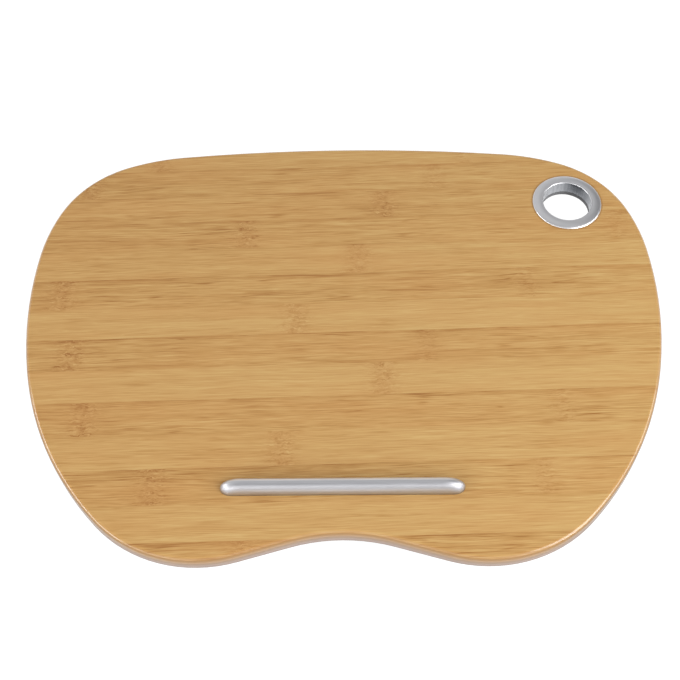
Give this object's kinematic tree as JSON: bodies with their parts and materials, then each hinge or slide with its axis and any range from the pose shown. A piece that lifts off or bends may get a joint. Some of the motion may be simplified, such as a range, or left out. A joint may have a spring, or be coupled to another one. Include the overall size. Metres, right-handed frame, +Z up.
{
  "type": "lap tray with cushion",
  "caption": "Kidney-shaped bamboo-faced lap tray with a stop bar, a ringed cable hole and a detachable zipped bead cushion underneath.",
  "frame": {"origin": "on the floor, under the middle of the tray board's outline", "axes": "+X to the right of the person who uses it, +Y away from that person, +Z up; the notch and the stop bar are at -Y"},
  "size_m": [0.4026, 0.3034, 0.0713],
  "materials": {
    "bamboo": "satin lacquered bamboo with fine lengthwise grain and knuckles",
    "fibreboard": "sealed fibreboard edge, matt",
    "backing": "thin dark felt backing sheet",
    "ring_silver": "satin silver-coloured plastic",
    "sleeve_dark": "matt dark grey plastic",
    "bar_silver": "satin anodised",
    "screw_steel": "zinc plated",
    "hook_black": "nylon hook tape",
    "loop_black": "nylon loop tape",
    "cover_fabric": "woven polyester, charcoal",
    "panel_fabric": "woven polyester, charcoal",
    "piping_fabric": "woven polyester over a cord",
    "bag_fabric": "thin white nonwoven",
    "beads": "expanded polystyrene beads",
    "zip_tape": "herringbone zip tape",
    "zip_nylon": "nylon coil",
    "zip_metal": "dark enamelled zinc"
  },
  "bodies": {
    "cushion": {"cushion_cover": "cover_fabric", "cushion_top_panel": "panel_fabric", "piping": "piping_fabric", "inner_bag": "bag_fabric", "bead_filling": "beads", "loop_strips": "loop_black", "zip_tape": "zip_tape", "zip_chain": "zip_nylon", "zip_top_stops": "zip_metal", "zip_bottom_stop": "zip_metal"},
    "tray": {"tray_core": "fibreboard", "bamboo_face": "bamboo", "backing_sheet": "backing", "grommet_ring": "ring_silver", "grommet_sleeve": "sleeve_dark", "stop_bar": "bar_silver", "stop_bar_screws": "screw_steel", "hook_strips": "hook_black"},
    "zip_slider": {"zip_slider": "zip_metal"},
    "zip_pull": {"zip_pull": "zip_metal"}
  },
  "joints": [
    {"name": "tray_lift", "type": "slide", "parent": "cushion", "child": "tray", "axis": [0, 0, 1], "range_m": [0, 0.1]},
    {"name": "zip_run", "type": "slide", "parent": "cushion", "child": "zip_slider", "axis": [-1, 0, 0], "range_m": [0, 0.139]},
    {"name": "pull_flip", "type": "hinge", "parent": "zip_slider", "child": "zip_pull", "pos_m": [0.0695, 0.1166, 0.03], "axis": [0, 0, -1], "range_deg": [0, 178]}
  ]
}
